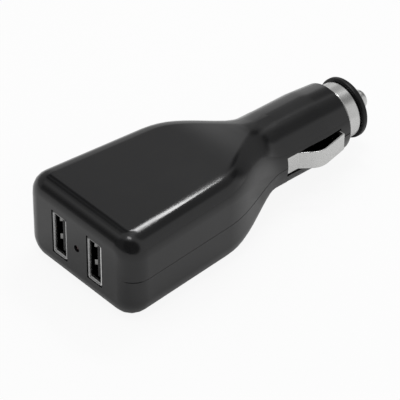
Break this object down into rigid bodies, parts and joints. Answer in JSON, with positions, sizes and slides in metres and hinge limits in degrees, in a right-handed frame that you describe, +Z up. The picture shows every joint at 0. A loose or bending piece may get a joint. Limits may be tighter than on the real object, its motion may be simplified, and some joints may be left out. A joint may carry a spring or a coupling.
{
  "type": "car usb charger plug",
  "caption": "Charger plug for a car's accessory socket: flat flared body with upright USB ports, round barrel with a sprung side contact, end cap and sprung centre pin.",
  "frame": {"origin": "middle of the plug's box, on the surface that the body's flat underside lies on", "axes": "+X along the plug's axis towards the centre pin, +Z up, +Y to the left port"},
  "size_m": [0.1066, 0.0452, 0.0274],
  "materials": {
    "shell_plastic": "black moulded plastic with a satin gloss",
    "cap_plastic": "black moulded plastic",
    "nickel": "bright nickel plate",
    "tin_plate": "tin-plated steel sheet",
    "brass": "plain brass",
    "spring_steel": "spring wire",
    "board": "green solder mask",
    "insulator": "black moulding",
    "lamp": "dark tinted lens",
    "chip": "black epoxy",
    "ferrite": "sintered ferrite",
    "copper": "enamelled copper wire",
    "can": "dark sleeve on an aluminium can",
    "resistor": "dark glaze",
    "capacitor_chip": "tan ceramic",
    "glass": "clear glass tube"
  },
  "bodies": {
    "casing": {"upper_shell": "shell_plastic", "lower_shell": "shell_plastic", "circuit_board": "board", "port_shell_left": "tin_plate", "port_shell_right": "tin_plate", "port_insulator_left": "insulator", "port_insulator_right": "insulator", "port_contacts_left": "brass", "port_contacts_right": "brass", "indicator_lamp": "lamp", "lamp_legs": "tin_plate", "regulator_chip": "chip", "regulator_legs": "tin_plate", "inductor_core": "ferrite", "inductor_winding": "copper", "input_capacitor": "can", "output_capacitor": "can", "diode": "chip", "chip_resistors": "resistor", "chip_capacitors": "capacitor_chip", "positive_contact": "brass", "contact_spring": "spring_steel", "ground_plate": "brass", "nose_ring": "nickel"},
    "leaf": {"side_contact": "nickel"},
    "cap": {"end_cap": "cap_plastic"},
    "pin": {"centre_pin": "nickel", "fuse_ends": "nickel", "fuse_glass": "glass", "fuse_wire": "tin_plate"}
  },
  "joints": [
    {"name": "leaf_press", "type": "slide", "parent": "casing", "child": "leaf", "axis": [0, 1, 0], "range_m": [0, 0.0032], "stiffness_N_per_m": 2500},
    {"name": "cap_turn", "type": "hinge", "parent": "casing", "child": "cap", "pos_m": [0.0435, 0, 0.0137], "axis": [1, 0, 0], "continuous": true},
    {"name": "pin_press", "type": "slide", "parent": "casing", "child": "pin", "axis": [-1, 0, 0], "range_m": [0, 0.003], "stiffness_N_per_m": 1200, "springref_m": -0.003, "deforming": ["contact_spring"]}
  ]
}
